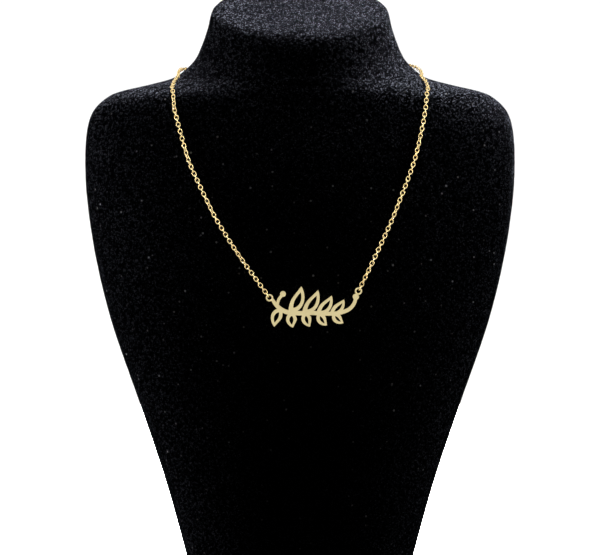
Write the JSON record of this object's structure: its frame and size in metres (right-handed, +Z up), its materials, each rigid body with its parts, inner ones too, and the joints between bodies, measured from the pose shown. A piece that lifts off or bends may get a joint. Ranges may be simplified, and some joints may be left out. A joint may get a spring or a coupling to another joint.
{
  "type": "nameplate necklace on a plain neck bust",
  "caption": "Thin cable-chain necklace with a pierced plate at the front, worn by a plain velvet neck bust with a flat base.",
  "frame": {"origin": "centre of the bust's flat base", "axes": "+Z up through the neck, -Y the front where the plate hangs, +X to the right as seen from the front"},
  "size_m": [0.1924, 0.0901, 0.2823],
  "materials": {
    "velvet": "matt velvet pile",
    "gold_plate": "satin",
    "gold": "polished"
  },
  "bodies": {
    "root": {"bust": "velvet", "nameplate": "gold_plate", "jump_ring_left": "gold", "jump_ring_right": "gold", "chain": "gold", "jump_ring_back_left": "gold", "jump_ring_back_right": "gold", "clasp": "gold"}
  },
  "joints": []
}
